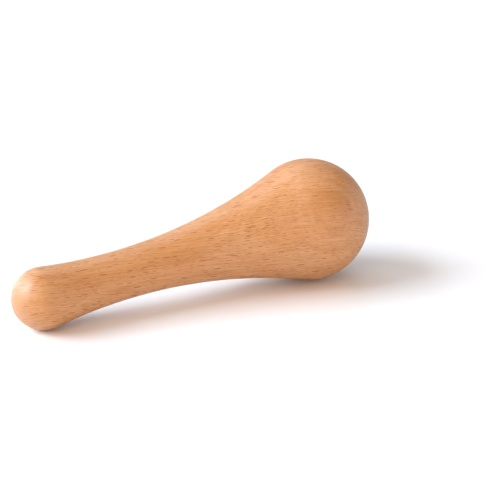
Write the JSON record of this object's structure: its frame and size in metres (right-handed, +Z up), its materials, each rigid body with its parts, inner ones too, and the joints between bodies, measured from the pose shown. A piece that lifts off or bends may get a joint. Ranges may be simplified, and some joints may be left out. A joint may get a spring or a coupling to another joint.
{
  "type": "muddler",
  "caption": "One-piece turned beech muddler: a large ball head for crushing fruit and herbs, thinning in one long hollow curve to a waist and a rounded grip end.",
  "frame": {"origin": "on the surface that the muddler lies on, under the middle of its bounding box", "axes": "+Z up from that surface, +X from the grip end towards the ball head, +Y sideways; the turning axis lies in the XZ plane and dips 6.3 degrees towards the grip end"},
  "size_m": [0.1712, 0.056, 0.056],
  "materials": {
    "beech": "fine-sanded and oiled, satin"
  },
  "bodies": {
    "root": {"muddler": "beech"}
  },
  "joints": []
}
